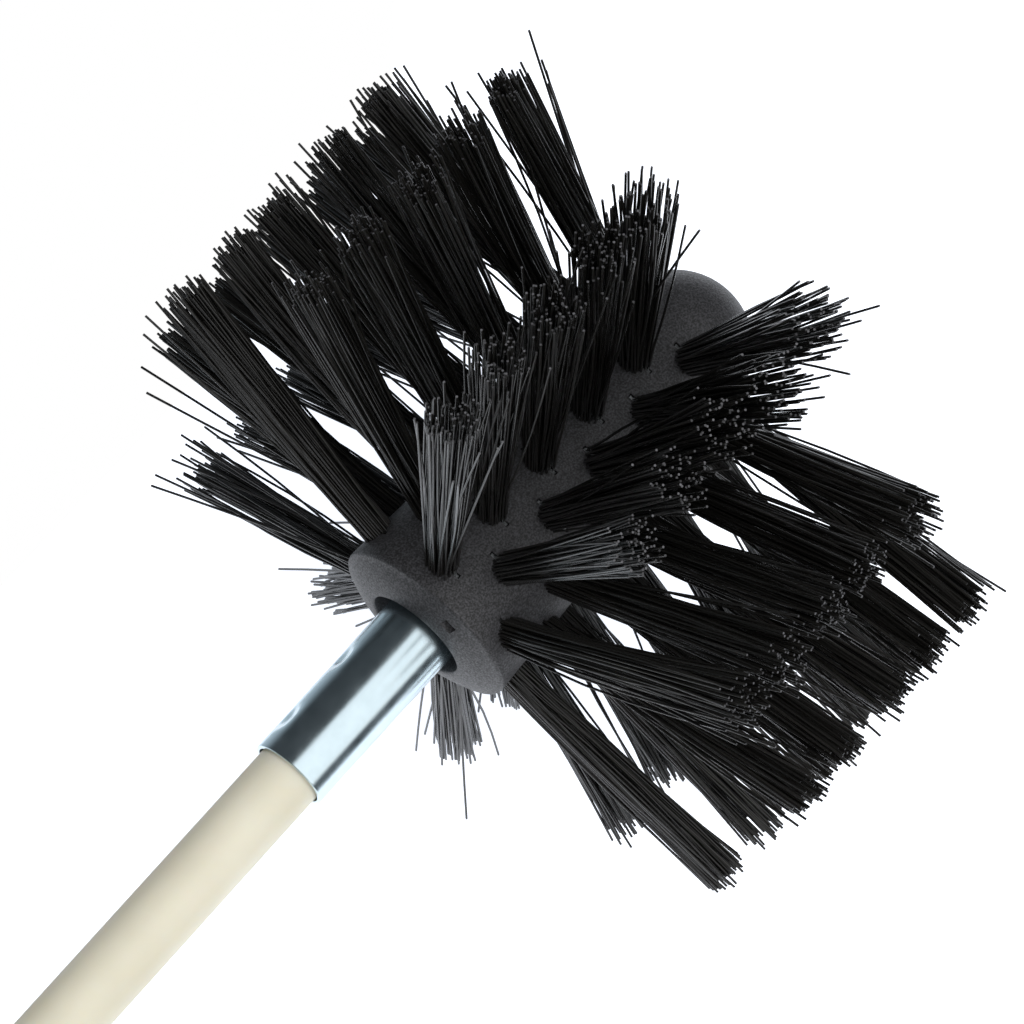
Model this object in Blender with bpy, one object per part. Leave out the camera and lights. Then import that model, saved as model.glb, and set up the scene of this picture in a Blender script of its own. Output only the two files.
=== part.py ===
"""Flexible chimney brush: a nylon rod with a crimped ferrule at each end and a screw-on bristle head.

The brush lies along +X, with its nose forward and the end face of its rear stud at the origin. Metres, +Z up.
"""

import math

import bmesh
import bpy
from mathutils import Matrix, Vector

# Rod: solid nylon, seated in a ferrule at each end.
rod_diameter = 0.0095
rod_section_length = 0.406
rod_seat_length = 0.022
rod_end_chamfer = 0.0006
rod_bend_share = 0.25

# Ferrules: plated steel sleeves, each pressed into the rod by pairs of opposed punched dents.
ferrule_wall = 0.00055
ferrule_edge_chamfer = 0.00015
crimp_seat_shares = (0.25, 0.75)
crimp_depth = 0.00050
crimp_half_length = 0.0032
crimp_half_width = 0.0030
crimp_directions = (math.radians(11), math.radians(191))

# Screw thread that joins head and rod, and each rod to the next.
thread_diameter = 0.006
thread_chamfer = 0.0006
bush_length = 0.012
rear_stud_reach = 0.012
head_stud_reach = 0.010
head_stud_shank = 0.013
head_stud_collar_diameter = 0.0096
head_stud_collar_length = 0.0032

# Core: one moulding, wide at the socket and tapering to the dome of its nose.
core_rear_radius = 0.01363
core_nose_radius = 0.01074
core_taper_length = 0.05368
core_rear_rise = 0.00182
core_rear_bulge = 0.00030
core_rim_round = 0.00060
socket_radius = 0.00720
socket_mouth_chamfer = 0.00030
ferrule_entry = 0.0080
rim_recess_radius = 0.0108
rim_recess_length = 0.0015
rim_recess_width = 0.0019
rim_recess_depth = 0.0015
rim_recess_turn = math.radians(14.5)

# Bristles: rows along the core, every other row half a pitch further forward.
row_count = 12
tufts_per_row = 5
strands_per_tuft = 8
first_row_turn = math.radians(-15)
first_tuft_setback = 0.00435
nose_tuft_setback = 0.00372
stagger_share = 0.547
bristle_tip_radius = 0.0554
bristle_tip_variation = 0.0022
strand_step_phase = 2.3
tuft_step_phase = 1.7
tuft_root_radius = 0.00150
tuft_tip_radius = 0.00370
strand_root_radius = 0.00052
strand_tip_radius = 0.00036
strand_root_bite = 0.0010
slice_depth = 0.0020
slice_half_angle = math.radians(10.2)
slice_end_margin = 0.0027

# Clearances and working values.
fit_gap = 0.0003
cut_overrun = 0.0020
weld_distance = 0.000001
core_sides = 48
small_sides = 24
dome_steps = 6
rim_steps = 2
rear_face_steps = 3
crimp_ring_shares = (-1.0, -0.66, -0.33, 0.0, 0.33, 0.66, 1.0)
smooth_angle = math.radians(35)

# Each ferrule holds its bush or shank, and then the seat of the rod.
ferrule_length = bush_length + rod_seat_length
crimp_setbacks = [share * rod_seat_length for share in crimp_seat_shares]

# Tufts share out the taper between the first one's setback and the last one's.
tufted_length = core_taper_length - first_tuft_setback - nose_tuft_setback
tuft_pitch = tufted_length / (tufts_per_row - 1 + stagger_share)
staggered_tuft_setback = first_tuft_setback + stagger_share * tuft_pitch

# Stations along the brush, each measured from the end face of the rear stud.
rear_ferrule_start = rear_stud_reach
rear_ferrule_end = rear_ferrule_start + ferrule_length
rod_start = rear_ferrule_start + bush_length + fit_gap
section_end = rear_ferrule_start + rod_section_length
front_ferrule_start = section_end - ferrule_length
front_bush_start = section_end - bush_length
rod_end = front_bush_start - fit_gap
socket_floor = section_end + fit_gap
core_rim = section_end - ferrule_entry + core_rear_rise
bare_rod_length = front_ferrule_start - rear_ferrule_end
rear_bend = rear_ferrule_end + rod_bend_share * bare_rod_length
front_bend = front_ferrule_start - rod_bend_share * bare_rod_length

ferrule_inner_radius = rod_diameter / 2 + fit_gap
ferrule_outer_radius = ferrule_inner_radius + ferrule_wall


def clear_scene():
    for item in list(bpy.data.objects):
        bpy.data.objects.remove(item)


def material(name, colour, roughness, metallic=0.0):
    made = bpy.data.materials.new(name)
    made.use_nodes = True
    shader = made.node_tree.nodes["Principled BSDF"]
    shader.inputs["Base Color"].default_value = (*colour, 1.0)
    shader.inputs["Roughness"].default_value = roughness
    shader.inputs["Metallic"].default_value = metallic
    return made


def joint_axis(name, station, parent=None):
    """An empty on the brush's axis that the pieces of one moving body hang from."""
    empty = bpy.data.objects.new(name, None)
    bpy.context.collection.objects.link(empty)
    empty.location = (station, 0, 0)
    if parent:
        attach(empty, parent)
    return empty


def attach(child, parent):
    bpy.context.view_layer.update()
    child.parent = parent
    child.matrix_parent_inverse = parent.matrix_world.inverted()
    bpy.context.view_layer.update()


def place(name, mesh, body, finish, turn=0.0):
    """One named piece on a moving body; its mesh is drawn in brush coordinates."""
    piece = bpy.data.objects.new(name, mesh)
    bpy.context.collection.objects.link(piece)
    piece.rotation_euler = (turn, 0, 0)
    if not mesh.materials:
        mesh.materials.append(finish)
    attach(piece, body)
    return piece


def finished(bm, name):
    bmesh.ops.remove_doubles(bm, verts=bm.verts, dist=weld_distance)
    bmesh.ops.recalc_face_normals(bm, faces=bm.faces)
    mesh = bpy.data.meshes.new(name)
    bm.to_mesh(mesh)
    bm.free()
    mesh.shade_smooth()
    mesh.set_sharp_from_angle(angle=smooth_angle)
    return mesh


def revolve(profile, sides, ring=False):
    """Turns (station, radius) points about the brush's axis; a ring's profile closes on itself."""
    bm = bmesh.new()
    points = [bm.verts.new((station, radius, 0)) for station, radius in profile]
    edges = [bm.edges.new(pair) for pair in zip(points, points[1:])]
    if ring:
        edges.append(bm.edges.new((points[-1], points[0])))
    bmesh.ops.spin(
        bm,
        geom=points + edges,
        cent=(0, 0, 0),
        axis=(1, 0, 0),
        angle=math.tau,
        steps=sides,
        use_merge=True,
    )
    return bm


def fade(share):
    """1 at the middle of a dent, 0 from its edge outward, smooth between them."""
    return math.cos(min(abs(share), 1.0) * math.pi / 2) ** 2


def press_crimps(bm, stations):
    """Pushes the punched dents into a sleeve, or into the rod under it."""
    for vert in bm.verts:
        radius = math.hypot(vert.co.y, vert.co.z)
        if radius < weld_distance:
            continue
        place_round = math.atan2(vert.co.z, vert.co.y)
        turn = min(abs(math.remainder(place_round - aim, math.tau)) for aim in crimp_directions)
        across = fade(turn * ferrule_outer_radius / crimp_half_width)
        along = max(fade((vert.co.x - station) / crimp_half_length) for station in stations)
        scale = 1 - crimp_depth * across * along / radius
        vert.co.y *= scale
        vert.co.z *= scale


def crimp_rings(stations):
    return [
        station + share * crimp_half_length
        for station in sorted(stations)
        for share in crimp_ring_shares
    ]


def ferrule(name, start, crimps):
    """A plain sleeve, chamfered at both mouths, with its dents pressed through the wall."""
    end = start + ferrule_length
    rings = [start + ferrule_edge_chamfer, *crimp_rings(crimps), end - ferrule_edge_chamfer]
    outer = [(station, ferrule_outer_radius) for station in rings]
    outer[0:0] = [(start, ferrule_outer_radius - ferrule_edge_chamfer)]
    outer.append((end, ferrule_outer_radius - ferrule_edge_chamfer))
    inner = [(station, ferrule_inner_radius) for station in [start, *crimp_rings(crimps), end]]
    bm = revolve(outer + inner[::-1], small_sides, ring=True)
    press_crimps(bm, crimps)
    return finished(bm, name)


def rod(rear_crimps, front_crimps):
    radius = rod_diameter / 2
    crimps = [*rear_crimps, *front_crimps]
    profile = [
        (rod_start, 0),
        (rod_start, radius - rod_end_chamfer),
        (rod_start + rod_end_chamfer, radius),
        *[(station, radius) for station in crimp_rings(crimps)],
        (rod_end - rod_end_chamfer, radius),
        (rod_end, radius - rod_end_chamfer),
        (rod_end, 0),
    ]
    bm = revolve(profile, small_sides)
    press_crimps(bm, crimps)
    return finished(bm, "rod")


def rear_stud():
    """Threaded stud with a plain shank that fills the rear ferrule."""
    radius = thread_diameter / 2
    shank = rod_diameter / 2
    shank_end = rear_ferrule_start + bush_length
    profile = [
        (0, 0),
        (0, radius - thread_chamfer),
        (thread_chamfer, radius),
        (rear_ferrule_start, radius),
        (rear_ferrule_start, shank),
        (shank_end - rod_end_chamfer, shank),
        (shank_end, shank - rod_end_chamfer),
        (shank_end, 0),
    ]
    return finished(revolve(profile, small_sides), "rear_stud")


def front_bush():
    """Threaded bush that fills the front ferrule, open right through."""
    bore = thread_diameter / 2 + fit_gap
    outer = rod_diameter / 2
    profile = [
        (front_bush_start, bore),
        (front_bush_start, outer - rod_end_chamfer),
        (front_bush_start + rod_end_chamfer, outer),
        (section_end, outer),
        (section_end, bore + thread_chamfer),
        (section_end - thread_chamfer, bore),
    ]
    return finished(revolve(profile, small_sides, ring=True), "front_bush")


def head_stud():
    """Stud moulded into the core: thread to the rear, and a collar that the plastic grips."""
    radius = thread_diameter / 2
    collar = head_stud_collar_diameter / 2
    tip = socket_floor - head_stud_reach
    end = socket_floor + head_stud_shank
    collar_start = end - head_stud_collar_length
    profile = [
        (tip, 0),
        (tip, radius - thread_chamfer),
        (tip + thread_chamfer, radius),
        (collar_start, radius),
        (collar_start, collar - thread_chamfer),
        (collar_start + thread_chamfer, collar),
        (end - thread_chamfer, collar),
        (end, collar - thread_chamfer),
        (end, 0),
    ]
    return finished(revolve(profile, small_sides), "head_stud")


def taper_angle():
    """Slope of the core's side, tangent to the dome of its nose."""
    run = math.hypot(core_taper_length, core_rear_radius)
    lean = math.atan2(core_rear_radius, core_taper_length)
    return lean - math.asin(core_nose_radius / run)


def core_radius(station):
    """Radius of the core's side at a distance forward of its rim."""
    return core_rear_radius - station * math.tan(taper_angle())


def core_profile():
    """Half section of the moulding, from the end of the stud's cavity round to the tip of the nose."""
    stud = thread_diameter / 2 + fit_gap
    collar = head_stud_collar_diameter / 2 + fit_gap
    cavity_end = socket_floor + head_stud_shank + fit_gap
    collar_start = cavity_end - head_stud_collar_length - 2 * fit_gap
    mouth = core_rim - core_rear_rise
    points = [
        (cavity_end, 0),
        (cavity_end, collar),
        (collar_start, collar),
        (collar_start, stud),
        (socket_floor, stud),
        (socket_floor, socket_radius),
        (mouth + socket_mouth_chamfer, socket_radius),
    ]
    inner = socket_radius + socket_mouth_chamfer
    outer = core_rear_radius - core_rim_round
    for step in range(rear_face_steps + 1):
        share = step / rear_face_steps
        bulge = core_rear_bulge * math.sin(share * math.pi)
        points.append((mouth + share * core_rear_rise - bulge, inner + share * (outer - inner)))
    for step in range(1, rim_steps + 1):
        turn = step / rim_steps * math.pi / 2
        points.append((
            core_rim + core_rim_round * (1 - math.cos(turn)),
            outer + core_rim_round * math.sin(turn) - core_rim_round * math.tan(taper_angle()),
        ))
    start = math.pi / 2 - taper_angle()
    for step in range(dome_steps + 1):
        turn = start * (1 - step / dome_steps)
        points.append((
            core_rim + core_taper_length + core_nose_radius * math.cos(turn),
            core_nose_radius * math.sin(turn),
        ))
    return points


def wedge(start, end, margin):
    """Keystone prism on top of the core, deep enough for a slice; margin widens it all round."""
    bm = bmesh.new()
    side = Vector((math.sin(slice_half_angle), math.cos(slice_half_angle)))
    across = Vector((side.y, -side.x)) * margin
    loops = []
    for station in (start - margin, end + margin):
        floor = core_radius(station) - slice_depth - margin
        roof = core_rear_radius + cut_overrun
        low = side * floor / side.y
        high = side * roof / side.y
        section = [low + across, high + across]
        section += [Vector((-point.x, point.y)) for point in reversed(section)]
        loops.append([bm.verts.new((core_rim + station, point.x, point.y)) for point in section])
    for rear, front in zip(loops, loops[1:]):
        for index in range(len(rear)):
            after = (index + 1) % len(rear)
            bm.faces.new((rear[index], rear[after], front[after], front[index]))
    bm.faces.new(loops[0])
    bm.faces.new(loops[-1])
    return finished(bm, "wedge")


def combine(base, operation, *tools):
    """The mesh left when tools are cut from, joined to or kept from base."""
    body = bpy.data.objects.new("blank", base)
    bpy.context.collection.objects.link(body)
    helpers = []
    for mesh, turn in tools:
        helper = bpy.data.objects.new("helper", mesh)
        bpy.context.collection.objects.link(helper)
        helper.rotation_euler = (turn, 0, 0)
        helper.hide_render = True
        helper.display_type = "WIRE"
        step = body.modifiers.new("cut", "BOOLEAN")
        step.operation = operation
        step.object = helper
        helpers.append(helper)
    bpy.context.view_layer.update()
    made = bpy.data.meshes.new_from_object(body.evaluated_get(bpy.context.evaluated_depsgraph_get()))
    for item in [body, *helpers]:
        bpy.data.objects.remove(item)
    made.shade_smooth()
    made.set_sharp_from_angle(angle=smooth_angle)
    return made


def tuft_stations(row):
    setback = staggered_tuft_setback if row % 2 else first_tuft_setback
    return [setback + tuft * tuft_pitch for tuft in range(tufts_per_row)]


def slice_span(row):
    stations = tuft_stations(row)
    return stations[0] - slice_end_margin, stations[-1] + slice_end_margin


def row_turn(row):
    return first_row_turn + row * math.tau / row_count


def strand(bm, root, tip):
    """One three-sided bristle, from inside the slice to its cut tip."""
    direction = (tip - root).normalized()
    aside = direction.cross(Vector((1, 0, 0))).normalized()
    forward = aside.cross(direction)
    start = root - direction * strand_root_bite
    ends = []
    for centre, radius in ((start, strand_root_radius), (tip, strand_tip_radius)):
        ends.append([
            bm.verts.new(centre + (aside * math.cos(turn) + forward * math.sin(turn)) * radius)
            for turn in (0, math.tau / 3, 2 * math.tau / 3)
        ])
    low, high = ends
    for index in range(3):
        after = (index + 1) % 3
        bm.faces.new((low[index], low[after], high[after], high[index]))
    bm.faces.new(low)
    bm.faces.new(high)


def row_strands(row):
    """Every strand of a row, square to the core's side and fanned round the middle one of its tuft."""
    bm = bmesh.new()
    ring = strands_per_tuft - 1
    for tuft, station in enumerate(tuft_stations(row)):
        base = Vector((core_rim + station, 0, core_radius(station)))
        for index in range(strands_per_tuft):
            turn = math.tau * (index + tuft / tufts_per_row) / ring
            spread = 1 if index < ring else 0
            away = Vector((math.cos(turn), math.sin(turn), 0)) * spread
            phase = strand_step_phase * index + tuft_step_phase * tuft + row % 2
            reach = bristle_tip_radius - bristle_tip_variation * (1 + math.sin(phase)) / 2
            lean = (reach - base.z) * math.tan(taper_angle())
            tip = Vector((base.x + lean, 0, reach)) + away * tuft_tip_radius
            strand(bm, base + away * tuft_root_radius, tip)
    return finished(bm, "strands")


def bristle_row(blank, row):
    start, end = slice_span(row)
    backing = combine(blank, "INTERSECT", (wedge(start, end, 0), 0))
    return combine(backing, "UNION", (row_strands(row), 0))


def rim_recess():
    """The small rectangular pocket that the mould leaves in the rear face, near the rim."""
    bm = bmesh.new()
    bmesh.ops.create_cube(bm, size=1)
    height = rim_recess_depth + cut_overrun
    bmesh.ops.scale(bm, vec=(height, rim_recess_width, rim_recess_length), verts=bm.verts)
    share = (rim_recess_radius - socket_radius) / (core_rear_radius - socket_radius)
    face = core_rim - core_rear_rise * (1 - share)
    centre = Vector((face + rim_recess_depth - height / 2, 0, rim_recess_radius))
    bmesh.ops.translate(bm, vec=centre, verts=bm.verts)
    return finished(bm, "rim_recess")


def core(blank):
    channels = [
        (wedge(*slice_span(row), fit_gap), row_turn(row)) for row in range(row_count)
    ]
    return combine(blank, "DIFFERENCE", (rim_recess(), rim_recess_turn), *channels)


def build():
    clear_scene()
    plastic = material("moulded_black_plastic", (0.018, 0.018, 0.020), 0.62)
    filament = material("black_nylon_filament", (0.008, 0.008, 0.009), 0.32)
    plated = material("zinc_plated_steel", (0.62, 0.65, 0.68), 0.22, 1.0)
    ivory = material("ivory_nylon", (0.76, 0.70, 0.56), 0.42)

    rear_end = joint_axis("rear_end_axis", 0)
    rod_axis = joint_axis("rod_bend_rear_axis", rear_bend, rear_end)
    front_end = joint_axis("rod_bend_front_axis", front_bend, rod_axis)
    carrier = joint_axis("head_travel_axis", section_end, front_end)
    head = joint_axis("head_turn_axis", section_end, carrier)

    rear_crimps = [rear_ferrule_end - setback for setback in crimp_setbacks]
    front_crimps = [front_ferrule_start + setback for setback in crimp_setbacks]

    place("rear_stud", rear_stud(), rear_end, plated)
    place("rear_ferrule", ferrule("rear_ferrule", rear_ferrule_start, rear_crimps), rear_end, plated)
    place("rod", rod(rear_crimps, front_crimps), rod_axis, ivory)
    place("front_ferrule", ferrule("front_ferrule", front_ferrule_start, front_crimps), front_end, plated)
    place("front_bush", front_bush(), front_end, plated)
    place("head_stud", head_stud(), carrier, plated)

    blank = finished(revolve(core_profile(), core_sides), "core_blank")
    place("core", core(blank), head, plastic)
    row_meshes = [bristle_row(blank, row) for row in range(2)]
    for row in range(row_count):
        name = f"bristle_row_{row + 1:02d}"
        place(name, row_meshes[row % 2], head, filament, row_turn(row))


build()
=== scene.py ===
import math

import bmesh
import bpy
import numpy as np
from mathutils import Matrix, Vector


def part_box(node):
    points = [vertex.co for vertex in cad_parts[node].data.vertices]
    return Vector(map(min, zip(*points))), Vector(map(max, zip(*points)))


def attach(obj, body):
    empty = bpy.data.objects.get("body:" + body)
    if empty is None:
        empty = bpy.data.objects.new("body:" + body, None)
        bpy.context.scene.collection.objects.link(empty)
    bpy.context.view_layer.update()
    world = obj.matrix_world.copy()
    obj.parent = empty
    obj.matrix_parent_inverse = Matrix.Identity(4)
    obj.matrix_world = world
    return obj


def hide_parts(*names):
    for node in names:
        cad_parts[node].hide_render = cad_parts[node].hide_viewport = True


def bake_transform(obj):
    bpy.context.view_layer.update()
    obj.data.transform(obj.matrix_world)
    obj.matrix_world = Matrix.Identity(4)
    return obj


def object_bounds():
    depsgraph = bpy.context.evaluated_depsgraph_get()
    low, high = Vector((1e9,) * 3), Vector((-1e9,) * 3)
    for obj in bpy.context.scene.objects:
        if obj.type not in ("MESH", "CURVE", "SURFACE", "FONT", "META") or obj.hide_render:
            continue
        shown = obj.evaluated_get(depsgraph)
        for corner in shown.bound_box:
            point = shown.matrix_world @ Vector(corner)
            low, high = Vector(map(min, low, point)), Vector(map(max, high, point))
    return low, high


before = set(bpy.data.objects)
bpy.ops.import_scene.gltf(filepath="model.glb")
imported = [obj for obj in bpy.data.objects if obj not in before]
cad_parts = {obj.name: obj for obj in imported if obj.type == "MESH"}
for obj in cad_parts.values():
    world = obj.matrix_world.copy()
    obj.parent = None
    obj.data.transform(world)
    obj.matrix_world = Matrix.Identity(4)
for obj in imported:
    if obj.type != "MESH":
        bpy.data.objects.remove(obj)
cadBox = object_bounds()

print("frame loaded")

mm = 0.001
draw = np.random.default_rng(31)  # seeded, for how the filaments spread and where they are cut
drawBow = np.random.default_rng(5)  # seeded, for how they bow
scene = bpy.context.scene
scene.view_settings.view_transform = "Standard"


# small helpers

def srgb(hexColour):
    # a web hex colour as the linear values that the shader wants
    parts = [int(hexColour[i:i + 2], 16) / 255 for i in (1, 3, 5)]
    return [p / 12.92 if p <= 0.04045 else ((p + 0.055) / 1.055) ** 2.4 for p in parts] + [1.0]


def newMaterial(name):
    made = bpy.data.materials.new(name)
    made.use_nodes = True
    return made, made.node_tree, made.node_tree.nodes["Principled BSDF"]


def addNode(tree, kind, settings=None, links=None):
    # settings name a socket or a property; links name a socket and what feeds it
    node = tree.nodes.new(kind)
    for key, value in (settings or {}).items():
        if isinstance(key, str) and hasattr(node, key) and key not in node.inputs:
            setattr(node, key, value)
        else:
            node.inputs[key].default_value = value
    for key, source in (links or {}).items():
        tree.links.new(source, node.inputs[key])
    return node


def noise(tree, where, size, detail):
    # size is about that of one blotch, in metres
    node = addNode(tree, "ShaderNodeTexNoise", {"Scale": 1 / size, "Detail": detail}, {"Vector": where})
    return node.outputs["Fac"]


def drawnOut(tree, where, squeeze):
    # stretches a pattern along the brush, as drawing and extruding do
    node = addNode(tree, "ShaderNodeMapping", {"Scale": (squeeze, 1.0, 1.0)}, {"Vector": where})
    return node.outputs["Vector"]


def bumped(tree, shader, height, strength, depth):
    bump = addNode(tree, "ShaderNodeBump", {"Strength": strength, "Distance": depth}, {"Height": height})
    tree.links.new(bump.outputs["Normal"], shader.inputs["Normal"])


def plainlySeen(tree, seen):
    # 1 for what the eye sees straight or through something clear
    rays = addNode(
        tree, "ShaderNodeMath", {"operation": "MAXIMUM"},
        {0: seen.outputs["Is Camera Ray"], 1: seen.outputs["Is Transmission Ray"]},
    )
    return rays.outputs["Value"]


def ramp(tree, source, stops):
    node = addNode(tree, "ShaderNodeValToRGB", links={"Fac": source})
    while len(node.color_ramp.elements) < len(stops):
        node.color_ramp.elements.new(0.5)
    for element, (place, colour) in zip(node.color_ramp.elements, stops):
        element.position = place
        element.color = colour if isinstance(colour, list) else [colour] * 3 + [1.0]
    return node.outputs["Color"]


def meshPiece(name, points, faces, materials, faceMaterials=None, sharpAngle=35):
    mesh = bpy.data.meshes.new(name)
    mesh.from_pydata([tuple(p) for p in points], [], faces)
    for material in materials:
        mesh.materials.append(material)
    if faceMaterials is not None:
        mesh.polygons.foreach_set("material_index", faceMaterials)
    mesh.update()
    mesh.shade_smooth()
    mesh.set_sharp_from_angle(angle=math.radians(sharpAngle))
    piece = bpy.data.objects.new(name, mesh)
    scene.collection.objects.link(piece)
    return piece


def lathe(profile, sides, ring=False):
    # turns (station, radius) points about the brush's own axis, +X; returns points and faces facing out
    points, rows, faces = [], [], []
    for station, radius in profile:
        if radius == 0:
            rows.append([len(points)] * sides)
            points.append((station, 0, 0))
            continue
        rows.append(list(range(len(points), len(points) + sides)))
        for side in range(sides):
            turn = math.tau * side / sides
            points.append((station, radius * math.cos(turn), radius * math.sin(turn)))
    pairs = list(zip(rows, rows[1:])) + ([(rows[-1], rows[0])] if ring else [])
    for low, high in pairs:
        for side in range(sides):
            after = (side + 1) % sides
            face = [low[side], high[side], high[after], low[after]]
            faces.append(list(dict.fromkeys(face)))
    return points, faces


def facesOut(piece):
    work = bmesh.new()
    work.from_mesh(piece.data)
    bmesh.ops.recalc_face_normals(work, faces=work.faces)
    work.to_mesh(piece.data)
    work.free()


def cutWith(piece, cutter):
    step = piece.modifiers.new("cut", "BOOLEAN")
    step.operation = "DIFFERENCE"
    step.object = cutter
    bpy.context.view_layer.update()
    made = bpy.data.meshes.new_from_object(piece.evaluated_get(bpy.context.evaluated_depsgraph_get()))
    piece.modifiers.clear()
    piece.data = made
    bpy.data.objects.remove(cutter)
    return piece


def kept(piece, body, slotName, *nodes):
    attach(piece, body)
    if nodes:
        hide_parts(*nodes)
    return piece


# where the CAD pieces lie, along +X

frontFerruleLow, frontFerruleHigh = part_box("front_ferrule")
rearFerruleLow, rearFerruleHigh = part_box("rear_ferrule")
rodLow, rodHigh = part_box("rod")
coreLow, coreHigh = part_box("core")
headStudLow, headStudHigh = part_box("head_stud")
rearStudLow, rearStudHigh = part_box("rear_stud")
bushLow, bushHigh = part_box("front_bush")

# the core's outline as the solids have it: a rim, a taper and a domed nose
coreDesign = {
    "rimSetback": 1.82 * mm,
    "rearRadius": 13.63 * mm,
    "noseRadius": 10.74 * mm,
    "taperLength": 53.68 * mm,
}
coreRim = coreLow.x + coreDesign["rimSetback"]


# camera: above the lying brush and a little behind the head, rolled so that the rod leaves at lower left

camera = {
    "focalPixels": 5000,
    "imagePixels": 1024,
    "sensorWidth": 36,
    "tilt": math.radians(17.90),
    "roll": math.radians(47.80),
    "turn": math.radians(1.36),
    "aimRight": -11.86 * mm,
    "aimDown": 15.24 * mm,
    "distance": 670.9 * mm,
    "clipStart": 10 * mm,
}


def placeCamera():
    axis = Vector((1, 0, 0))
    nearer = Vector((0, -math.sin(camera["turn"]), math.cos(camera["turn"])))
    aside = nearer.cross(axis)
    forward = axis * math.sin(camera["tilt"]) - nearer * math.cos(camera["tilt"])
    upward = axis * math.cos(camera["tilt"]) + nearer * math.sin(camera["tilt"])
    right = upward * math.cos(camera["roll"]) - aside * math.sin(camera["roll"])
    down = -upward * math.sin(camera["roll"]) - aside * math.cos(camera["roll"])
    eye = (
        Vector((coreRim, 0, 0))
        - right * camera["aimRight"]
        - down * camera["aimDown"]
        - forward * camera["distance"]
    )
    lens = bpy.data.cameras.new("camera")
    lens.sensor_width = camera["sensorWidth"]
    lens.lens = camera["focalPixels"] / camera["imagePixels"] * camera["sensorWidth"]
    lens.clip_start = camera["clipStart"]
    shooter = bpy.data.objects.new("camera", lens)
    scene.collection.objects.link(shooter)
    turn = Matrix((right, -down, -forward)).transposed()
    shooter.matrix_world = Matrix.Translation(eye) @ turn.to_4x4()
    scene.camera = shooter


placeCamera()
print("camera placed")


# materials

def mouldedPlastic():
    # injection-moulded black polypropylene off a spark-eroded tool: matt, with a salt-like glitter that is
    # painted into the colour as lighter specks (painted glints), drawn a little coarser than it is
    material, tree, shader = newMaterial("blackPolypropyleneMoulded")
    where = addNode(tree, "ShaderNodeTexCoord").outputs["Object"]
    grain = noise(tree, where, size=0.27 * mm, detail=4.0)
    cloud = noise(tree, where, size=9 * mm, detail=4.0)
    tone = ramp(tree, cloud, [(0.3, srgb("#212122")), (0.7, srgb("#282829"))])
    # painted glints: lighter specks mixed into the base colour where the grain peaks, standing in for
    # sparkle of light
    paintedGlint = ramp(tree, grain, [(0.4, 0.0), (0.68, 1.0)])
    mix = addNode(tree, "ShaderNodeMix", {"data_type": "RGBA"}, {"Factor": paintedGlint})
    tree.links.new(tone, mix.inputs["A"])
    mix.inputs["B"].default_value = srgb("#4c4c50")
    tree.links.new(mix.outputs["Result"], shader.inputs["Base Color"])
    rough = ramp(tree, grain, [(0.35, 0.6), (0.7, 0.4)])
    tree.links.new(rough, shader.inputs["Roughness"])
    bumped(tree, shader, grain, strength=0.55, depth=0.06 * mm)
    shader.inputs["IOR"].default_value = 1.49
    return material


def drawnFilament():
    # black nylon monofilament, drawn: a satin skin that runs a thin grey line of light down each bristle
    material, tree, shader = newMaterial("blackNylonDrawn")
    island = addNode(tree, "ShaderNodeNewGeometry").outputs["Random Per Island"]
    tone = ramp(tree, island, [(0.0, srgb("#131210")), (1.0, srgb("#252422"))])
    tree.links.new(tone, shader.inputs["Base Color"])
    rough = ramp(tree, island, [(0.0, 0.14), (1.0, 0.34)])
    tree.links.new(rough, shader.inputs["Roughness"])
    shader.inputs["IOR"].default_value = 1.53
    return material


def cutFilament():
    # the same nylon where shears cut it: whitened, crushed and dull
    material, tree, shader = newMaterial("blackNylonSheared")
    island = addNode(tree, "ShaderNodeNewGeometry").outputs["Random Per Island"]
    tone = ramp(tree, island, [(0.0, srgb("#2a2a2c")), (1.0, srgb("#66666a"))])
    tree.links.new(tone, shader.inputs["Base Color"])
    shader.inputs["Roughness"].default_value = 0.6
    shader.inputs["IOR"].default_value = 1.53
    return material


def zincPlate():
    # drawn steel tube, bright zinc plated: cold blue-white, mirror-like, with faint draw lines
    material, tree, shader = newMaterial("steelZincPlated")
    where = addNode(tree, "ShaderNodeTexCoord").outputs["Object"]
    drawLines = noise(tree, drawnOut(tree, where, 0.02), size=0.12 * mm, detail=2.0)
    cloud = noise(tree, where, size=2.5 * mm, detail=5.0)
    tone = ramp(tree, cloud, [(0.3, srgb("#c8d9e0")), (0.75, srgb("#d5e6ed"))])
    tree.links.new(tone, shader.inputs["Base Color"])
    rough = ramp(tree, cloud, [(0.3, 0.19), (0.75, 0.26)])
    tree.links.new(rough, shader.inputs["Roughness"])
    bumped(tree, shader, drawLines, strength=0.12, depth=0.01 * mm)
    shader.inputs["Metallic"].default_value = 1.0
    return material


def ivoryNylon():
    # extruded natural nylon rod: warm ivory, slightly see-through, satin, with long faint die lines
    material, tree, shader = newMaterial("ivoryNylonExtruded")
    where = addNode(tree, "ShaderNodeTexCoord").outputs["Object"]
    dieLines = noise(tree, drawnOut(tree, where, 0.03), size=0.5 * mm, detail=3.0)
    cloud = noise(tree, where, size=14 * mm, detail=4.0)
    tone = ramp(tree, cloud, [(0.3, srgb("#e1dcc7")), (0.7, srgb("#eae6d4"))])
    tree.links.new(tone, shader.inputs["Base Color"])
    rough = ramp(tree, dieLines, [(0.3, 0.36), (0.7, 0.5)])
    tree.links.new(rough, shader.inputs["Roughness"])
    bumped(tree, shader, dieLines, strength=0.2, depth=0.03 * mm)
    shader.inputs["IOR"].default_value = 1.53
    shader.inputs["Subsurface Weight"].default_value = 0.5
    shader.inputs["Subsurface Radius"].default_value = (1.0, 0.85, 0.6)
    shader.inputs["Subsurface Scale"].default_value = 4.0 * mm
    return material


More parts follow.
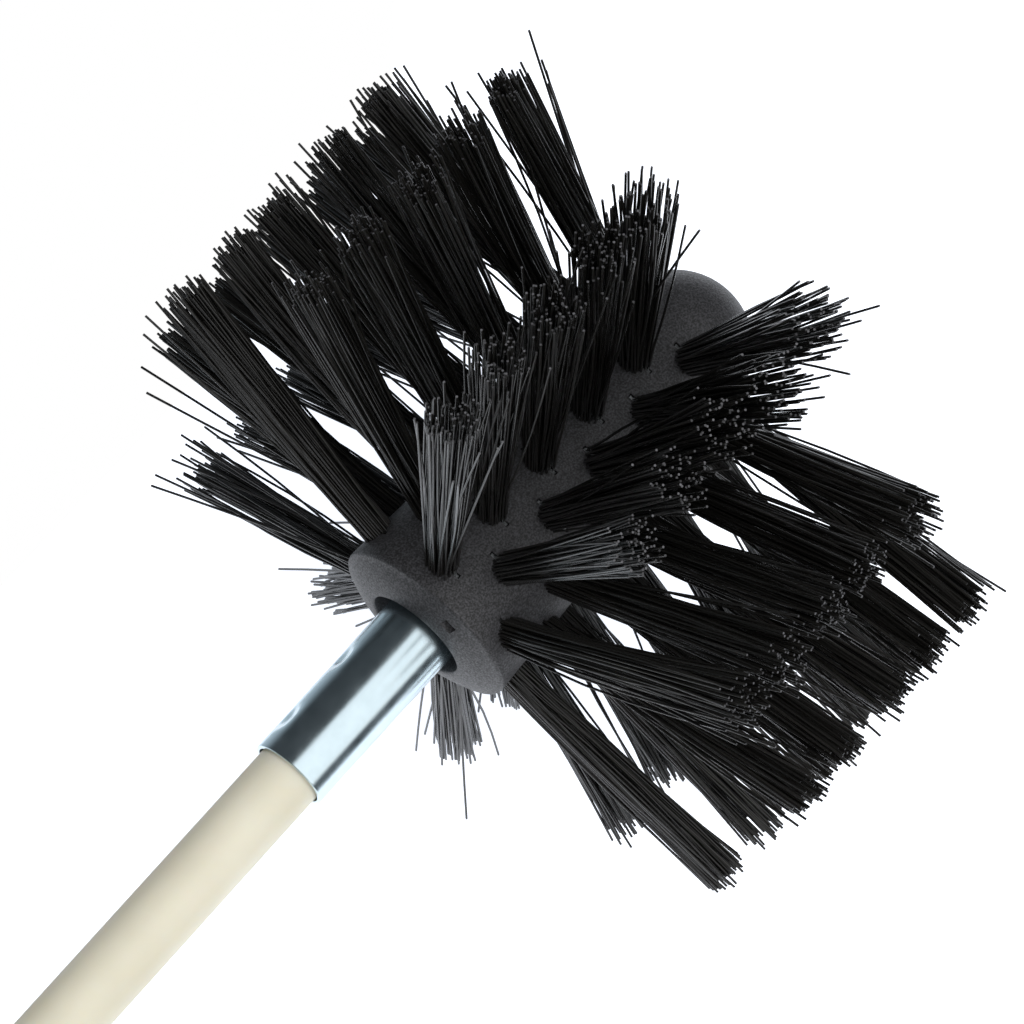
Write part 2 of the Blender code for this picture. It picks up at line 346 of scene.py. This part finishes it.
def anchorWire():
    # flat galvanised anchor wire, cropped from a coil: bright and slightly grained
    material, tree, shader = newMaterial("steelWireGalvanised")
    where = addNode(tree, "ShaderNodeTexCoord").outputs["Object"]
    grain = noise(tree, where, size=0.2 * mm, detail=2.0)
    tone = ramp(tree, grain, [(0.3, srgb("#8a8e91")), (0.7, srgb("#b4b8ba"))])
    tree.links.new(tone, shader.inputs["Base Color"])
    shader.inputs["Metallic"].default_value = 1.0
    shader.inputs["Roughness"].default_value = 0.3
    return material


plasticMaterial = mouldedPlastic()
filamentMaterial = drawnFilament()
cutMaterial = cutFilament()
zincMaterial = zincPlate()
ivoryMaterial = ivoryNylon()
wireMaterial = anchorWire()
print("materials made")


# core: one moulding with a hole for each tuft and two slots where its anchor bites

core = {
    "sides": 144,
    "domeSteps": 20,
    "rimRound": 0.6 * mm,
    "rimSteps": 5,
    "rearBulge": 0.3 * mm,
    "rearSteps": 8,
    "socketRadius": 7.2 * mm,
    "mouthRound": 0.3 * mm,
    "mouthSteps": 3,
    "fitGap": 0.3 * mm,
    "studBore": 3.3 * mm,
    "collarCavity": 3.8 * mm,
    "holeRadius": 2.38 * mm,
    "holeDepth": 3.4 * mm,
    "holeSides": 28,
    "mouthFlare": 0.22 * mm,
    "cutPast": 1 * mm,
    "slotReach": 0.65 * mm,
    "slotWidth": 0.62 * mm,
    "slotDepth": 2.9 * mm,
    "recessRadius": 10.8 * mm,
    "recessLength": 1.5 * mm,
    "recessWidth": 1.9 * mm,
    "recessDepth": 1.5 * mm,
    "recessTurn": math.radians(14.5),
    "sharpAngle": math.radians(30),
}
tufts = {
    "rows": 12,
    "perRow": 5,
    "firstTurn": math.radians(-15),
    "evenSetback": 4.35 * mm,
    "oddSetback": 9.84 * mm,
    "pitch": 10.03 * mm,
}
lean = math.atan2(coreDesign["rearRadius"], coreDesign["taperLength"])
lean -= math.asin(coreDesign["noseRadius"] / math.hypot(coreDesign["taperLength"], coreDesign["rearRadius"]))


def coreRadius(station):
    return coreDesign["rearRadius"] - station * math.tan(lean)


def rowTurn(row):
    return tufts["firstTurn"] + math.tau * row / tufts["rows"]


def tuftStation(row, tuft):
    return (tufts["oddSetback"] if row % 2 else tufts["evenSetback"]) + tufts["pitch"] * tuft


def axesAt(turn):
    # radial, along the brush and round it, at an angle round its axis
    radial = Vector((0, -math.sin(turn), math.cos(turn)))
    return radial, Vector((1, 0, 0)), Vector((0, -math.cos(turn), -math.sin(turn)))


def tuftHoles():
    for row in range(tufts["rows"]):
        for tuft in range(tufts["perRow"]):
            yield *axesAt(rowTurn(row)), tuftStation(row, tuft)


def coreProfile():
    socketFloor = frontFerruleHigh.x + core["fitGap"]
    studBore = core["studBore"]
    collarBore = headStudHigh.z + core["fitGap"]
    cavityEnd = headStudHigh.x + core["fitGap"]
    collarStart = cavityEnd - core["collarCavity"]
    mouth = coreLow.x
    points = [
        (cavityEnd, 0), (cavityEnd, collarBore), (collarStart, collarBore), (collarStart, studBore),
        (socketFloor, studBore), (socketFloor, core["socketRadius"]),
    ]
    for step in range(core["mouthSteps"] + 1):
        turn = step / core["mouthSteps"] * math.pi / 2
        points.append((
            mouth + core["mouthRound"] * (1 - math.sin(turn)),
            core["socketRadius"] + core["mouthRound"] * (1 - math.cos(turn)),
        ))
    inner = core["socketRadius"] + core["mouthRound"]
    outer = coreDesign["rearRadius"] - core["rimRound"]
    for step in range(1, core["rearSteps"] + 1):
        share = step / core["rearSteps"]
        bulge = core["rearBulge"] * math.sin(share * math.pi)
        points.append((mouth + share * coreDesign["rimSetback"] - bulge, inner + share * (outer - inner)))
    for step in range(1, core["rimSteps"] + 1):
        turn = step / core["rimSteps"] * math.pi / 2
        points.append((
            coreRim + core["rimRound"] * (1 - math.cos(turn)),
            outer + core["rimRound"] * math.sin(turn) - core["rimRound"] * math.tan(lean),
        ))
    start = math.pi / 2 - lean
    for step in range(core["domeSteps"] + 1):
        turn = start * (1 - step / core["domeSteps"])
        radius = coreDesign["noseRadius"] * math.sin(turn)
        points.append((
            coreRim + coreDesign["taperLength"] + coreDesign["noseRadius"] * math.cos(turn),
            radius if step < core["domeSteps"] else 0,
        ))
    return points


def holeCutter():
    # every tuft hole with its flared mouth
    points, faces = [], []
    sides = core["holeSides"]
    for radial, along, around, station in tuftHoles():
        surface = coreRadius(station)
        centre = along * (coreRim + station)
        flared = core["holeRadius"] + 2 * core["mouthFlare"]
        rings = [
            (surface - core["holeDepth"], core["holeRadius"]),
            (surface - core["mouthFlare"], core["holeRadius"]),
            (surface + core["mouthFlare"], flared),
            (surface + core["cutPast"], flared),
        ]
        start = len(points)
        for height, radius in rings:
            for side in range(sides):
                turn = math.tau * side / sides
                across = (along * math.cos(turn) + around * math.sin(turn)) * radius
                points.append(centre + radial * height + across)
        for ring in range(len(rings) - 1):
            low = start + ring * sides
            for side in range(sides):
                after = (side + 1) % sides
                faces.append([low + side, low + after, low + sides + after, low + sides + side])
        faces.append([start + side for side in reversed(range(sides))])
        faces.append([start + (len(rings) - 1) * sides + side for side in range(sides)])
    return meshPiece("holeCutter", points, faces, [])


def boxAt(centre, axes, half):
    corners = [
        centre + axes[0] * half[0] * i + axes[1] * half[1] * j + axes[2] * half[2] * k
        for i in (-1, 1) for j in (-1, 1) for k in (-1, 1)
    ]
    faces = [[0, 1, 3, 2], [4, 6, 7, 5], [0, 4, 5, 1], [2, 3, 7, 6], [0, 2, 6, 4], [1, 5, 7, 3]]
    return corners, faces


def joinBoxes(name, boxes, materials):
    points, faces = [], []
    for corners, sides in boxes:
        faces += [[len(points) + i for i in side] for side in sides]
        points += corners
    piece = meshPiece(name, points, faces, materials)
    facesOut(piece)
    return piece


def slotCutter():
    boxes = []
    half = (core["slotWidth"] / 2, core["holeRadius"] + core["slotReach"], core["slotDepth"])
    for radial, along, around, station in tuftHoles():
        centre = along * (coreRim + station) + radial * coreRadius(station)
        boxes.append(boxAt(centre, (along, around, radial), half))
    return joinBoxes("slotCutter", boxes, [])


def recessCutter():
    radial, along, around = axesAt(core["recessTurn"])
    share = (core["recessRadius"] - core["socketRadius"]) / (coreDesign["rearRadius"] - core["socketRadius"])
    face = coreRim - coreDesign["rimSetback"] * (1 - share)
    centre = Vector((face, 0, 0)) + radial * core["recessRadius"]
    half = (core["recessDepth"], core["recessWidth"] / 2, core["recessLength"] / 2)
    return joinBoxes("recessCutter", [boxAt(centre, (along, around, radial), half)], [])


def makeCore():
    points, faces = lathe(coreProfile(), core["sides"])
    piece = meshPiece("coreMoulding", points, faces, [plasticMaterial])
    facesOut(piece)
    for cutter in (holeCutter(), slotCutter(), recessCutter()):
        piece = cutWith(piece, cutter)
    piece.data.shade_smooth()
    piece.data.set_sharp_from_angle(angle=core["sharpAngle"])
    return kept(piece, "brush_head", "core_plastic", "core")


makeCore()
print("core moulded")


# bristles: about ninety filaments a tuft, each set straight into its hole and cut to the flue's size; the
# real tuft's fold is not modelled

bristle = {
    "perTuft": 92,
    "radius": 0.185 * mm,
    "sides": 5,
    "rings": 6,
    "sharpAngle": 75,
    "rootDepth": 2.6 * mm,
    "bundleRadius": 2.18 * mm,
    "tipRadius": 54.5 * mm,
    "cutUnevenness": 0.95 * mm,
    "cutOffCentre": 0.5 * mm,
    "cutOffTurn": math.radians(80),
    "spread": 3.15 * mm,
    "spreadVariation": 0.06,
    "spreadJitter": 0.8 * mm,
    "strayShare": 0.045,
    "strayReach": 5.5 * mm,
    "strayLength": 1.2 * mm,
    "bow": 0.35 * mm,
    "tuftJitter": 0.7 * mm,
    "foreLean": 1.9 * mm,
}
# how far each tuft's tip stands forward and aside of straight out, in millimetres, and how open it is,
# for the rows in view; a tuft not listed leans forward by foreLean, give or take tuftJitter
combing = {
    0: [(2.5, 0.5, 1.25), (3.0, -0.5, 1.1), (2.5, 0.5, 1.1), (3.0, 0, 1.15), (1.5, 0, 1.45)],
    1: [(1.0, 0, 1.2), (1.0, -1.5, 1.1), (0.5, -1.5, 1.1), (-0.5, 0.5, 1.4), (-0.5, -2.0, 1.4)],
    2: [(5.0, -1.0, 1), (3.0, -0.5, 1), (2.0, -1.0, 1), (-0.5, -0.5, 1), (0, 0.5, 1)],
    3: [(4.0, 0, 1), (2.0, 0, 1), (2.5, 0, 1), (0.5, 0.5, 1), (-1.0, 0.5, 1)],
    4: [(2.0, 0.5, 1), (1.5, 0, 1)],
    5: [(0, -0.5, 1), (0, 0, 1)],
    6: [(1.5, 0, 1)],
    7: [(0.5, 0.5, 1)],
    8: [(2.5, 0, 1.15)],
    9: [(1.5, 0.5, 1)],
    10: [(3.5, 0.5, 1), (3.0, 0, 1), (1.5, 0, 1), (2.5, 0.5, 1), (2.5, 0, 1)],
    11: [(2.5, -1.0, 1), (2.5, -1.0, 1), (2.5, 0.5, 1), (2.0, -0.5, 1), (1.0, -0.5, 1)],
}
# single filaments that have slipped or bent out: row, tuft, and tip forward, aside and out, in millimetres
strays = [
    (0, 4, 2.5, 8.0, 55.0), (1, 4, -3.0, 5.5, 56.0), (6, 0, -6.0, -7.5, 57.5), (6, 0, -3.0, 4.5, 56.0),
    (8, 0, 0, -5.0, 54.5), (8, 0, 1.0, 4.6, 55.5), (8, 0, 3.5, 5.5, 54.5), (8, 0, 4.5, 4.0, 55.0),
    (8, 0, 2.0, 6.5, 54.0), (9, 0, -6.0, -5.0, 53.5), (9, 1, -3.5, 4.5, 54.5), (9, 1, -2.5, 6.0, 54.0),
    (10, 0, -3.0, -4.5, 54.0), (11, 3, 6.0, -3.5, 58.5), (11, 4, 8.0, -0.5, 57.5),
]


def bundle(count):
    # filament places in the hole, packed like a sunflower's seeds, as shares of its radius
    turns = np.arange(count) * math.pi * (3 - math.sqrt(5))
    reach = np.sqrt((np.arange(count) + 0.5) / count)
    return np.stack([reach * np.cos(turns), reach * np.sin(turns)], 1)


def tuftTips(row, tuft, places):
    # where the filaments of one tuft end: forward and aside of straight out, and out from the axis
    count = len(places)
    combed = combing[row]
    if tuft < len(combed):
        fore, aside, openness = combed[tuft]
        comb = np.array([fore, aside]) * mm
    else:
        openness = 1
        comb = np.array([bristle["foreLean"], 0]) + draw.normal(0, bristle["tuftJitter"], 2)
    spread = bristle["spread"] * openness * (1 + draw.normal(0, bristle["spreadVariation"]))
    tips = places * spread + draw.normal(0, bristle["spreadJitter"], (count, 2)) + comb
    # the shears ran round a centre a little off the core's
    offCut = bristle["cutOffCentre"] * math.cos(rowTurn(row) - bristle["cutOffTurn"])
    reach = bristle["tipRadius"] + offCut + draw.normal(0, bristle["cutUnevenness"], count)
    stray = draw.random(count) < bristle["strayShare"]
    strayTurn = draw.random(count) * math.tau
    strayTips = np.stack([np.cos(strayTurn), np.sin(strayTurn)], 1) * bristle["strayReach"]
    tips[stray] += strayTips[stray]
    reach[stray] += draw.random(count)[stray] * bristle["strayLength"]
    for number, (_, _, fore, aside, out) in enumerate(s for s in strays if s[:2] == (row, tuft)):
        tips[-1 - number] = fore * mm, aside * mm
        reach[-1 - number] = out * mm
    return tips, reach


def tuftFilaments(row, tuft):
    # centre lines of one tuft: an array of filaments by rings by xyz
    radial, along, around = (np.array(v) for v in axesAt(rowTurn(row)))
    station = tuftStation(row, tuft)
    places = bundle(bristle["perTuft"])
    tips, reach = tuftTips(row, tuft, places)
    root = coreRadius(station) - bristle["rootDepth"]
    height = root + (reach - root)[:, None] * np.linspace(0, 1, bristle["rings"])
    clear = np.clip((height - coreRadius(station)) / (reach - coreRadius(station))[:, None], 0, 1)
    starts = places * bristle["bundleRadius"]
    offset = starts[:, None, :] + (tips - starts)[:, None, :] * clear[:, :, None]
    bow = drawBow.normal(0, bristle["bow"], (len(places), 2))
    offset += bow[:, None, :] * np.sin(np.pi * clear)[:, :, None]
    centre = np.array([coreRim + station, 0, 0])
    return (
        centre + height[:, :, None] * radial
        + offset[:, :, :1] * along + offset[:, :, 1:] * around
    )


def tubes(lines, radius, sides):
    # round tubes along many centre lines at once; each ends in a cut face
    count, rings, _ = lines.shape
    ahead = np.gradient(lines, axis=1)
    ahead /= np.linalg.norm(ahead, axis=2, keepdims=True)
    askew = np.array([0.31, 0.83, 0.46])  # a way that no filament runs
    first = np.cross(ahead, askew)
    first /= np.linalg.norm(first, axis=2, keepdims=True)
    second = np.cross(ahead, first)
    turns = math.tau * np.arange(sides) / sides
    ring = (
        first[:, :, None, :] * np.cos(turns)[None, None, :, None]
        + second[:, :, None, :] * np.sin(turns)[None, None, :, None]
    )
    points = (lines[:, :, None, :] + ring * radius).reshape(-1, 3)
    base = (np.arange(count) * rings * sides)[:, None, None]
    level = (np.arange(rings - 1) * sides)[None, :, None]
    side = np.arange(sides)[None, None, :]
    after = (side + 1) % sides
    quads = np.stack([
        base + level + side, base + level + after,
        base + level + sides + after, base + level + sides + side,
    ], -1).reshape(-1, 4)
    flat = np.arange(sides)
    tops = base[:, 0] + (rings - 1) * sides + flat
    bottoms = base[:, 0] + flat[::-1]
    return points, quads, tops, bottoms


def makeRow(row):
    lines = np.concatenate([tuftFilaments(row, tuft) for tuft in range(tufts["perRow"])])
    points, quads, tops, bottoms = tubes(lines, bristle["radius"], bristle["sides"])
    faces = quads.tolist() + bottoms.tolist() + tops.tolist()
    kinds = [0] * (len(quads) + len(bottoms)) + [1] * len(tops)
    name = f"tuftRow{row + 1:02d}"
    materials = [filamentMaterial, cutMaterial]
    piece = meshPiece(name, points, faces, materials, kinds, bristle["sharpAngle"])
    return kept(piece, "brush_head", "bristle_nylon", f"bristle_row_{row + 1:02d}")


for rowIndex in range(tufts["rows"]):
    makeRow(rowIndex)
print("bristles set")


# anchors: a flat length of wire across each hole, driven in over the tuft

anchor = {
    "halfThickness": 0.24 * mm,
    "halfHeight": 0.8 * mm,
    "depth": 1.55 * mm,
    "endGap": 0.3 * mm,
}


def makeAnchors():
    boxes = []
    halfLength = core["holeRadius"] + core["slotReach"] - anchor["endGap"]
    half = (anchor["halfThickness"], halfLength, anchor["halfHeight"])
    for radial, along, around, station in tuftHoles():
        centre = along * (coreRim + station) + radial * (coreRadius(station) - anchor["depth"])
        boxes.append(boxAt(centre, (along, around, radial), half))
    return kept(joinBoxes("tuftAnchors", boxes, [wireMaterial]), "brush_head", "plated_steel")


makeAnchors()
print("anchors driven")


# ferrules: drawn tube with rolled edges, punched into the rod

ferrule = {
    "sides": 96,
    "outerRadius": 5.6 * mm,
    "innerRadius": 5.05 * mm,
    "edgeRound": 0.16 * mm,
    "edgeSteps": 4,
    "crimpSetbacks": (5.5 * mm, 16.5 * mm),
    "crimpDepth": 0.6 * mm,
    "crimpHalfLength": 3.2 * mm,
    "crimpHalfWidth": 2.3 * mm,
    "crimpTurns": (math.radians(16), math.radians(196)),
    "ringStep": 0.35 * mm,
}


def crimped(points, stations):
    # presses the punched dents into a tube's wall
    pressed = []
    for x, y, z in points:
        radius = math.hypot(y, z)
        turn = min(abs(math.remainder(math.atan2(z, y) - aim, math.tau)) for aim in ferrule["crimpTurns"])
        across = turn * ferrule["outerRadius"] / ferrule["crimpHalfWidth"]
        along = min(abs(x - station) for station in stations) / ferrule["crimpHalfLength"]
        push = math.cos(min(across, 1) * math.pi / 2) ** 2 * math.cos(min(along, 1) * math.pi / 2) ** 2
        scale = 1 - ferrule["crimpDepth"] * push / radius if radius else 1
        pressed.append((x, y * scale, z * scale))
    return pressed


def makeFerrule(name, low, high, crimps, body, node):
    outer, inner, edge = ferrule["outerRadius"], ferrule["innerRadius"], ferrule["edgeRound"]
    count = round((high - low) / ferrule["ringStep"])
    rounding = []
    for step in range(ferrule["edgeSteps"] + 1):
        turn = step / ferrule["edgeSteps"] * math.pi / 2
        rounding.append((edge * (1 - math.cos(turn)), outer - edge * (1 - math.sin(turn))))
    profile = [(low + reach, radius) for reach, radius in rounding]
    profile += [(low + edge + (high - low - 2 * edge) * step / count, outer) for step in range(1, count)]
    profile += [(high - reach, radius) for reach, radius in reversed(rounding)]
    profile += [(high - (high - low) * step / count, inner) for step in range(count + 1)]
    points, faces = lathe(profile, ferrule["sides"], ring=True)
    piece = meshPiece(name, crimped(points, crimps), faces, [zincMaterial])
    return kept(piece, body, "plated_steel", node)


frontCrimps = [frontFerruleLow.x + setback for setback in ferrule["crimpSetbacks"]]
rearCrimps = [rearFerruleHigh.x - setback for setback in ferrule["crimpSetbacks"]]
makeFerrule("ferruleFront", frontFerruleLow.x, frontFerruleHigh.x, frontCrimps, "front_end", "front_ferrule")
makeFerrule("ferruleRear", rearFerruleLow.x, rearFerruleHigh.x, rearCrimps, "rear_end", "rear_ferrule")
print("ferrules crimped")


# rod: two halves of one extrusion, meeting at its middle

rod = {
    "sides": 64,
    "radius": 4.75 * mm,
    "ringStep": 2.0 * mm,
    "endChamfer": 0.6 * mm,
}
rodMiddle = (rearFerruleHigh.x + frontFerruleLow.x) / 2


def makeRodHalf(name, low, high, chamferLow, crimps):
    radius, chamfer = rod["radius"], rod["endChamfer"]
    count = round((high - low) / rod["ringStep"])
    stations = [low + (high - low) * step / count for step in range(count + 1)]
    wall = [(station, radius) for station in stations]
    if chamferLow:
        wall = [(low, radius - chamfer), (low + chamfer, radius)] + wall[1:]
    else:
        wall = wall[:-1] + [(high - chamfer, radius), (high, radius - chamfer)]
    points, faces = lathe([(low, 0)] + wall + [(high, 0)], rod["sides"])
    piece = meshPiece(name, crimped(points, crimps), faces, [ivoryMaterial])
    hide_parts("rod")
    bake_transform(piece)
    return piece


makeRodHalf(
    "rodRearHalf", rodLow.x, rodMiddle, True, rearCrimps,
)
makeRodHalf(
    "rodFrontHalf", rodMiddle, rodHigh.x, False, frontCrimps,
)
print("rod extruded")


# studs and bush: rolled M6 threads, one millimetre a turn

thread = {
    "pitch": 1.0 * mm,
    "studRadius": 3.0 * mm,
    "depth": 0.6 * mm,
    "crestShare": 0.14,
    "rootShare": 0.2,
    "sides": 48,
    "ringsPerPitch": 10,
    "boreRadius": 3.08 * mm,
    "boreDepth": 0.5 * mm,
    "chamfer": 0.6 * mm,
    "collarLength": 3.2 * mm,
    "tolerance": 0.01 * mm,
    "sharpAngle": 50,
}


def threadRings(low, high, radius):
    count = round((high - low) / thread["pitch"] * thread["ringsPerPitch"])
    return [(low + (high - low) * step / count, radius) for step in range(count + 1)]


def threaded(points, low, high, near, depth):
    # presses a right-hand groove into the points that lie at the thread's radius, fading out at both ends
    cut = []
    for x, y, z in points:
        radius = math.hypot(y, z)
        if low <= x <= high and abs(radius - near) < thread["tolerance"]:
            phase = (x / thread["pitch"] - math.atan2(z, y) / math.tau) % 1
            slope = 1 - thread["crestShare"] - thread["rootShare"]
            groove = min(max((abs(2 * phase - 1) - thread["crestShare"]) / slope, 0), 1)
            groove *= min(1, (x - low) / thread["pitch"], (high - x) / thread["pitch"])
            scale = (radius + depth * groove) / radius
            y, z = y * scale, z * scale
        cut.append((x, y, z))
    return cut


def makeThreaded(name, profile, span, radius, depth, body, node, ring=False):
    points, faces = lathe(profile, thread["sides"], ring)
    points = threaded(points, *span, radius, depth)
    piece = meshPiece(name, points, faces, [zincMaterial], sharpAngle=thread["sharpAngle"])
    return kept(piece, body, "plated_steel", node)


def makeHeadStud():
    low, high, radius = headStudLow.x, headStudHigh.x, thread["studRadius"]
    chamfer, collar = thread["chamfer"], headStudHigh.z
    threadEnd = frontFerruleHigh.x
    collarStart = high - thread["collarLength"]
    profile = [(low, 0), (low, radius - chamfer)]
    profile += threadRings(low + chamfer, threadEnd, radius)
    profile += [(collarStart, radius), (collarStart, collar - chamfer), (collarStart + chamfer, collar)]
    profile += [(high - chamfer, collar), (high, collar - chamfer), (high, 0)]
    span = (low + chamfer, threadEnd)
    makeThreaded("studHead", profile, span, radius, -thread["depth"], "head_carrier", "head_stud")


def makeRearStud():
    low, high, radius = rearStudLow.x, rearStudHigh.x, thread["studRadius"]
    chamfer, shank = thread["chamfer"], rearStudHigh.z
    shoulder = rearFerruleLow.x
    profile = [(low, 0), (low, radius - chamfer)]
    profile += threadRings(low + chamfer, shoulder, radius)
    profile += [(shoulder, shank), (high - chamfer, shank), (high, shank - chamfer), (high, 0)]
    span = (low + chamfer, shoulder)
    makeThreaded("studRear", profile, span, radius, -thread["depth"], "rear_end", "rear_stud")


def makeBush():
    low, high, outer = bushLow.x, bushHigh.x, bushHigh.z
    chamfer, bore = thread["chamfer"], thread["boreRadius"]
    profile = [(low, bore), (low, outer - chamfer), (low + chamfer, outer)]
    profile += [(high, outer), (high, bore + chamfer)]
    profile += threadRings(low, high - chamfer, bore)[::-1][:-1]
    span, depth = (low, high - chamfer), thread["boreDepth"]
    makeThreaded("bushFront", profile, span, bore, depth, "front_end", "front_bush", ring=True)


makeHeadStud()
makeRearStud()
makeBush()
print("threads rolled")


# floor and light: a white table under one broad soft window on the right; lengths in metres

studio = {
    "floorFront": 0.24,
    "floorRear": 0.24,
    "floorLeft": 0.05,
    "floorLeftAhead": 0.24,
    "floorRight": 0.3,
    "floorColour": "#f2f2f2",
    "floorRoughness": 0.7,
    "glowUnderHead": 0.85,
    "glowUnderRod": 0.16,
    "glowFade": 0.12,
    "glowRise": (1, -0.6, 0),
    "glowSeen": 1.05,
    "glowMirrored": 0.7,
    "glowTint": "#e9f1ff",
    "fill": {"tint": "#ffffff", "side": (0.1, 0.2, 0.97), "low": 0.05, "high": 0.84},
    "room": {"tint": "#e9f5ff", "side": (0, 0, -1), "low": 0.05, "high": 1.0},
    "seenTint": "#ffffff",
    "windowRadiance": 1.25,
    "windowWidth": 1.35,
    "windowLength": 1.1,
    "windowDistance": 0.8,
    "windowLean": math.radians(32),
    "windowShift": -0.15,
}


def makeFloor():
    # opal acrylic light table, brightest under the brush's head; the eye sees it evenly white, and the steel
    # evenly pale
    material, tree, shader = newMaterial("acrylicOpalCast")
    shader.inputs["Base Color"].default_value = srgb(studio["floorColour"])
    shader.inputs["Roughness"].default_value = studio["floorRoughness"]
    shader.inputs["Emission Color"].default_value = srgb(studio["glowTint"])
    seen = addNode(tree, "ShaderNodeLightPath")
    place = addNode(tree, "ShaderNodeTexCoord").outputs["Object"]
    station = addNode(
        tree, "ShaderNodeVectorMath", {"operation": "DOT_PRODUCT", 1: studio["glowRise"]}, {0: place}
    )
    glow = addNode(
        tree, "ShaderNodeMapRange",
        {
            "From Min": frontFerruleHigh.x - studio["glowFade"], "From Max": frontFerruleHigh.x,
            "To Min": studio["glowUnderRod"], "To Max": studio["glowUnderHead"],
        },
        {"Value": station.outputs["Value"]},
    )
    mirrored = addNode(
        tree, "ShaderNodeMapRange", {"To Max": studio["glowMirrored"]},
        {"Value": seen.outputs["Is Glossy Ray"], "To Min": glow.outputs["Result"]},
    )
    shine = addNode(
        tree, "ShaderNodeMapRange", {"To Max": studio["glowSeen"]},
        {"Value": plainlySeen(tree, seen), "To Min": mirrored.outputs["Result"]},
    )
    tree.links.new(shine.outputs["Result"], shader.inputs["Emission Strength"])
    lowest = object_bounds()[0][2]
    rear = cadBox[0][0] - studio["floorRear"]
    front = cadBox[1][0] + studio["floorFront"]
    left, leftAhead, right = studio["floorLeft"], studio["floorLeftAhead"], -studio["floorRight"]
    edge = [(rear, right), (front, right), (front, leftAhead), (coreHigh.x, left), (rear, left)]
    floor = meshPiece("floor", [(x, y, lowest) for x, y in edge], [list(range(len(edge)))], [material])


def makeWindow():
    away, along, _ = axesAt(studio["windowLean"])
    light = bpy.data.lights.new("window", "AREA")
    light.shape = "RECTANGLE"
    light.size = studio["windowLength"]
    light.size_y = studio["windowWidth"]
    light.energy = studio["windowRadiance"] * math.pi * light.size * light.size_y
    lamp = bpy.data.objects.new("window", light)
    scene.collection.objects.link(lamp)
    turn = Matrix((along, away.cross(along), away)).transposed()
    centre = along * (coreRim + studio["windowShift"]) + away * studio["windowDistance"]
    lamp.matrix_world = Matrix.Translation(centre) @ turn.to_4x4()
    lamp.visible_camera = False


def makeWorld():
    world = bpy.data.worlds.new("studio")
    scene.world = world
    world.use_nodes = True
    tree = world.node_tree
    tree.nodes.clear()
    seen = addNode(tree, "ShaderNodeLightPath")
    direction = addNode(tree, "ShaderNodeTexCoord").outputs["Generated"]

    def graded(sky):
        # a background that grows from low to high towards one side
        facing = addNode(
            tree, "ShaderNodeVectorMath", {"operation": "DOT_PRODUCT", 1: sky["side"]}, {0: direction}
        )
        strength = addNode(
            tree, "ShaderNodeMapRange",
            {"To Min": sky["low"], "To Max": sky["high"]}, {"Value": facing.outputs["Value"]},
        )
        return addNode(
            tree, "ShaderNodeBackground",
            {"Color": srgb(sky["tint"])}, {"Strength": strength.outputs["Result"]},
        )

    # fill lights the matt things; gloss reflects room, white below and dim above; the eye sees plain white
    fill, room = graded(studio["fill"]), graded(studio["room"])
    seenTint = srgb(studio["seenTint"])
    white = addNode(tree, "ShaderNodeBackground", {"Color": seenTint, "Strength": 1.0})
    inGloss = addNode(tree, "ShaderNodeMixShader", links={"Fac": seen.outputs["Is Glossy Ray"]})
    tree.links.new(fill.outputs[0], inGloss.inputs[1])
    tree.links.new(room.outputs[0], inGloss.inputs[2])
    inView = addNode(tree, "ShaderNodeMixShader", links={"Fac": plainlySeen(tree, seen)})
    tree.links.new(inGloss.outputs[0], inView.inputs[1])
    tree.links.new(white.outputs[0], inView.inputs[2])
    addNode(tree, "ShaderNodeOutputWorld", links={"Surface": inView.outputs[0]})


makeFloor()
makeWindow()
makeWorld()
print("studio lit")
